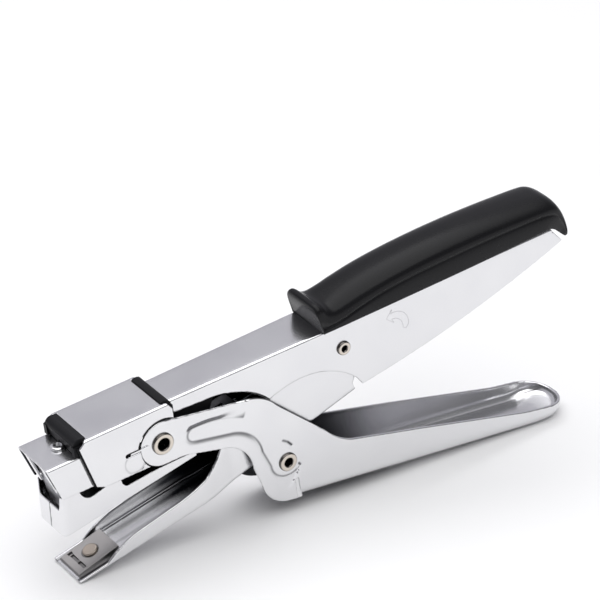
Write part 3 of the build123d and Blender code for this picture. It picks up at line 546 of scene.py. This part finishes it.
def squared(y, z, half, top, bend):
    """Draws a rounded sheet bend out to the tighter one a press leaves."""
    across_bend, above = np.abs(y) - (half - bend), z - (top - bend)
    reach = np.hypot(across_bend, above)
    at_bend = (across_bend > 0.02) & (above > 0.02) & (reach > bend - 0.42)
    turn = np.arctan2(above, across_bend)
    squareness = np.abs(np.cos(turn)) ** TIGHTNESS + np.abs(np.sin(turn)) ** TIGHTNESS
    grow = np.where(at_bend, squareness ** (-1 / TIGHTNESS), 1.0)
    return (np.where(at_bend, np.sign(y) * (half - bend + across_bend * grow), y),
            np.where(at_bend, top - bend + above * grow, z))


def channel_shape(design):
    """Tighter bends along the top."""
    x, y, z = design.T
    y, z = squared(y, z, channel_half(x), CHANNEL_TOP, BEND)
    return np.stack([x, y, z], axis=1)


def nose_shape(design):
    """Tighter bends along the top."""
    x, y, z = design.T
    y, z = squared(y, z, NOSE_HALF, NOSE_TOP, BEND)
    return np.stack([x, y, z], axis=1)


def channel_painted_shade(x, y, z):
    """Painted shade: dark inside the flanges, below the web."""
    inside = np.abs(y) < channel_half(x) - 0.5
    return np.where(inside & (z < 43.6), 0.93, 0.0)


# round press mark on the cap's side: middle, radius, and the height where it ends, below the slit
MARK = (22.3, 32.3)
MARK_RADIUS = 3.2
MARK_TOP = 34.6


def press_mark(x, z):
    """Distance from the line of the round press mark."""
    return np.abs(np.hypot(x - MARK[0], z - MARK[1]) - MARK_RADIUS)


def cap_shape(design):
    """Faint round press mark below the slit, on both sides, and tighter bends along the top."""
    x, y, z = design.T
    ring = press_mark(x, z)
    face = (np.abs(y) > 9.3) & (z < MARK_TOP)
    y = np.where(face, y - np.sign(y) * 0.16 * (1 - fade(ring, 0.1, 0.45)), y)
    y, z = squared(y, z, CAP_HALF, CAP_TOP, BEND)
    return np.stack([x, y, z], axis=1)


def cap_painted_shade(x, y, z):
    """Painted shade: the press mark's line slightly dark; the inside dark."""
    ring = press_mark(x, z)
    mark = 0.22 * (1 - fade(ring, 0.05, 0.4)) * (z < MARK_TOP)
    inside = (np.abs(y) < 8.95) & (z < 45.9)
    return np.where(np.abs(y) > 9.2, mark, np.where(inside, 0.8, 0.0))


def nose_painted_shade(x, y, z):
    """Painted shade: black inside; the two front fingers stay bright."""
    finger = (x < 0.4) & (np.abs(y) > 3.4) & (np.abs(y) < 5.4)
    inside = (np.abs(y) < 7.95) & (z < 41.05) & ~finger
    return np.where(inside, 0.96, 0.0)


def shroud_painted_shade(x, y, z):
    """Painted shade: black inside, behind the front face, and along the seam down its middle."""
    depth = x - SHROUD_FRONT[0] - (z - SHROUD_FRONT[1]) * SHROUD_LEAN
    behind = depth > np.where(np.abs(y) > 5.6, 1.6, 0.42)
    inside = (np.abs(y) < 7.1) & (z > 24.0) & behind
    seam = (np.abs(y) < 0.24) & (depth < 1.0) & (z < 26.0)
    return np.where(inside | seam, 0.9, 0.0)


pressed("squeeze_lever", "pressed_lever", BRIGHT, "lever", lever_painted_shade, lever_shape, voxel=0.28, rounds=5)
pressed("clincher_arm", "pressed_arm", BRIGHT, "clincher", arm_painted_shade, voxel=0.3, rounds=4)
pressed("upper_handle_channel", "pressed_channel", BRIGHT, "handle", channel_painted_shade, channel_shape,
        voxel=0.3, rounds=3)
pressed("head_cap", "pressed_cap", BRIGHT, "handle", cap_painted_shade, cap_shape, voxel=0.2, rounds=3)
pressed("nose_housing", "pressed_nose", BRIGHT, "handle", nose_painted_shade, nose_shape, voxel=0.2, rounds=3)
pressed("magazine_shroud", "pressed_shroud", BRIGHT, "magazine", shroud_painted_shade, voxel=0.2, rounds=3)


# ------------------------------------------------------------------ tubular rivets

def rolled(centre, rim, bore):
    """Painted shade: a dark line round a rolled rivet flange, and a dark bore."""
    def painted_shade(x, y, z):
        radius = np.hypot(x - centre[0], z - centre[1])
        line = 0.8 * fade(radius, rim - 0.42, rim - 0.1)
        return line + 0.78 * (1 - fade(radius, bore + 0.12, bore + 0.4))
    return painted_shade


pressed("front_pivot_rivet", "rolled_front_rivet", RIVET, "handle", rolled(*FRONT_RIVET),
        voxel=0.15, rounds=2)
pressed("cam_rivet", "rolled_cam_rivet", RIVET, "lever", rolled(*CAM_RIVET), voxel=0.15, rounds=2)
pressed("rear_pivot_rivet", "rolled_rear_rivet", RIVET, "handle", rolled(*REAR_RIVET),
        voxel=0.12, rounds=2)


# ------------------------------------------------------------------ small details

def ribbon(name, path, width, face_y, mat, body):
    """A fine engraved line: a shallow V laid along a path on a side face."""
    verts, faces = [], []
    count = len(path)
    side = 1 if face_y > 0 else -1
    for i, (x, z) in enumerate(path):
        ax, az = path[max(0, i - 1)]
        bx, bz = path[min(count - 1, i + 1)]
        length = math.hypot(bx - ax, bz - az)
        nx, nz = -(bz - az) / length * width / 2, (bx - ax) / length * width / 2
        verts += [(x + nx, face_y + 0.015 * side, z + nz), (x, face_y + 0.004 * side, z),
                  (x - nx, face_y + 0.015 * side, z - nz)]
    for i in range(count - 1):
        for k in (0, 1):
            quad = (3 * i + k, 3 * i + k + 1, 3 * i + k + 4, 3 * i + k + 3)
            faces.append(quad if side < 0 else tuple(reversed(quad)))
    piece(name, verts, faces, mat, body)


# place along the channel whose half-width the arrow takes
ARROW_X = 115.0


def turn_arrow():
    """Generic curved arrow engraved on the near flange, under the grip."""
    outer = [(112.2, 41.6)] + arc((112.2, 41.6), (116.4, 40.4), (118.0, 35.8), 16)
    inner = arc((112.4, 39.6), (114.9, 38.6), (116.0, 35.3), 16)
    head = [(112.2, 41.6), (112.6, 42.9), (110.6, 40.4), (112.9, 38.3), (112.4, 39.6)]
    loop = list(reversed(outer)) + head[1:] + inner + [(117.0, 34.6), (118.0, 35.8)]
    ribbon("turn_arrow", loop, 0.24, -channel_half(ARROW_X), ENGRAVED, "handle")


def within(x, y, box):
    """True between the box's front and rear and between its sides."""
    return box[0] < x < box[1] and box[2] < y < box[3]


def anvil_margin(x, y):
    """Distance to the nearest edge of the plate."""
    return min(x - ANVIL_FRONT, ANVIL_REAR - x, y + ANVIL_HALF, ANVIL_HALF - y)


def anvil_top(x, y):
    """Height of the sloping top, with its pockets and rounded edges."""
    level = ANVIL_LIFT + math.tan(math.radians(ANVIL_SLOPE)) * (x - ANVIL_FRONT)
    for *box, depth in POCKETS:
        if within(x, y, box) and not within(x, y, BRIDGE):
            level -= depth
    edge = anvil_margin(x, y)
    if edge < ANVIL_EDGE:
        level -= ANVIL_EDGE - math.sqrt(max(0.0, ANVIL_EDGE ** 2 - (ANVIL_EDGE - edge) ** 2))
    return level


def anvil_low(x):
    """Height of the underside, just clear of the arm's web."""
    return UNDERSIDE_FRONT + UNDERSIDE_SLOPE * x + PLATE_RISE


def anvil_painted_shade(x, y):
    """Painted shade: dark over the pockets, round the rivet and along the rim."""
    if any(within(x, y, box) for *box, _ in POCKETS):
        return 0.55
    if abs(math.hypot(x - ANVIL_RIVET[0], y) - ANVIL_RIVET[1]) < 0.3:
        return 0.6
    return 0.4 if anvil_margin(x, y) < 0.16 else 0.0


def anvil():
    """Wedge plate with clinching pockets sunk into its sloping top."""
    nx, ny = ((138, 110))
    along = [ANVIL_FRONT + (ANVIL_REAR - ANVIL_FRONT) * i / nx for i in range(nx + 1)]
    across = [-ANVIL_HALF + 2 * ANVIL_HALF * j / ny for j in range(ny + 1)]
    verts = [(x, y, anvil_top(x, y)) for x in along for y in across]
    row = ny + 1
    faces = [(i * row + j, (i + 1) * row + j, (i + 1) * row + j + 1, i * row + j + 1)
             for i in range(nx) for j in range(ny)]
    rim = list(range(row))
    rim += [i * row + ny for i in range(1, nx + 1)]
    rim += [nx * row + j for j in range(ny - 1, -1, -1)]
    rim += [i * row for i in range(nx - 1, 0, -1)]
    start = len(verts)
    verts += [(verts[k][0], verts[k][1], anvil_low(verts[k][0])) for k in rim]
    for k in range(len(rim)):
        m = (k + 1) % len(rim)
        faces.append((rim[k], rim[m], start + m, start + k))
    faces.append(tuple(reversed(range(start, start + len(rim)))))
    obj = piece("anvil_wedge", verts, faces, ANVIL, "clincher", ("anvil_plate",), smooth=False)
    # Painted shade over the pockets, round the rivet and along the rim.
    shade_paint = obj.data.attributes.new("painted_shade", "FLOAT", "POINT")
    shade_paint.data.foreach_set("value", [anvil_painted_shade(x, y) for x, y, _ in verts])


def side_prisms(name, path, inner, outer, mat, body="handle"):
    """The same flat strip on the near and the far side, between two widths."""
    verts, faces = [], []
    count = len(path)
    for side in (-1, 1):
        start = len(verts)
        verts += [(x, y * side, z) for y in (inner, outer) for x, z in path]
        walls = [(start + k, start + (k + 1) % count, start + count + (k + 1) % count, start + count + k)
                 for k in range(count)]
        walls.append(tuple(range(start, start + count)))
        walls.append(tuple(reversed(range(start + count, start + 2 * count))))
        faces += walls if side > 0 else [tuple(reversed(wall)) for wall in walls]
    piece(name, verts, faces, mat, body, smooth=False)


def slit_tabs():
    """Bright edge of the inner plate that shows in the cap's slit."""
    path = ((21.4, 35.15), (27.3, 35.15), (27.3, 35.72), (21.7, 35.72), (21.3, 35.5))
    side_prisms("slit_tabs", path, 8.62, 9.22, BRIGHT)


def liner_edges():
    """Liner edge that shows along the slanted front edge of the cap's side."""
    path = ((5.25, 44.8), (5.85, 44.8), (9.34, 30.3), (8.78, 30.3))
    side_prisms("liner_edges", path, 8.45, 9.2, TRIM)


def lever_webs():
    """Joins the lever's flat arm to the front of its trough, below the cam rivet."""
    path = ((72.7, 2.3), (74.6, 2.3), (74.6, -5.15), (72.7, -4.85))
    side_prisms("lever_webs", path, 8.0, 8.8, BRIGHT, "lever")


turn_arrow()
anvil()
slit_tabs()
liner_edges()
lever_webs()


# ------------------------------------------------------------------ floor, light, camera

def stage_floor():
    """Plain pale paper under the stapler."""
    mesh = bpy.data.meshes.new("floor")
    size = 3.0
    corners = [(-size, -size, 0), (size, -size, 0), (size, size, 0), (-size, size, 0)]
    mesh.from_pydata(corners, [], [(0, 1, 2, 3)])
    floor = bpy.data.objects.new("floor", mesh)
    bpy.context.scene.collection.objects.link(floor)
    mat, _, shader = material("floor_paper")
    shader.inputs["Base Color"].default_value = (0.93, 0.93, 0.93, 1.0)
    shader.inputs["Roughness"].default_value = 0.9
    mesh.materials.append(mat)


def area_light(name, place, target, size, power):
    """White rectangular light aimed at a point."""
    data = bpy.data.lights.new(name, "AREA")
    data.shape = "RECTANGLE"
    data.size, data.size_y = size
    data.energy = power
    obj = bpy.data.objects.new(name, data)
    obj.location = place
    aim = Vector(target) - Vector(place)
    obj.rotation_euler = aim.to_track_quat("-Z", "Y").to_euler()
    bpy.context.scene.collection.objects.link(obj)


def world_light():
    """Soft studio surround: a grey-lavender wall behind, a dim room on the near side."""
    world = bpy.data.worlds.new("studio")
    world.use_nodes = True
    tree = world.node_tree
    background = tree.nodes["Background"]
    direction = add(tree, "ShaderNodeTexCoord").outputs["Generated"]
    axes = add(tree, "ShaderNodeSeparateXYZ")
    tree.links.new(direction, axes.inputs[0])
    fac = add(tree, "ShaderNodeMapRange")
    fac.inputs["From Min"].default_value = -1.0
    fac.inputs["From Max"].default_value = 1.0
    tree.links.new(axes.outputs["Y"], fac.inputs["Value"])
    color = ramp(tree, fac.outputs[0], (
        (0.0, (0.19, 0.19, 0.20)), (0.40, (0.20, 0.20, 0.21)), (0.55, (0.36, 0.36, 0.38)),
        (0.75, (0.47, 0.465, 0.505)), (1.0, (0.50, 0.495, 0.535))))
    tree.links.new(color, background.inputs[0])
    background.inputs[1].default_value = 1.0
    bpy.context.scene.world = world


def camera():
    """Long lens standing where the photo was taken from, as the camera solve found it."""
    data = bpy.data.cameras.new("camera")
    data.sensor_width = 36.0
    data.lens = 198.0
    data.clip_end = 20.0
    obj = bpy.data.objects.new("camera", data)
    right = Vector((0.83454132, -0.55093885, -0.00267576))
    up = Vector((0.26594494, 0.39858045, 0.87772827))
    back = Vector((-0.4825081, -0.73321211, 0.47915126))
    turn = Matrix((right, up, back)).transposed().to_4x4()
    obj.matrix_world = Matrix.Translation((-0.46026761, -0.69602968, 0.51938061)) @ turn
    bpy.context.scene.collection.objects.link(obj)
    bpy.context.scene.camera = obj


stage_floor()
world_light()
area_light("overhead", place=(-0.1, -0.15, 1.3), target=(0, -0.15, 0.03), size=(2.6, 1.7), power=27.0)
bpy.context.scene.view_settings.view_transform = "Standard"
camera()
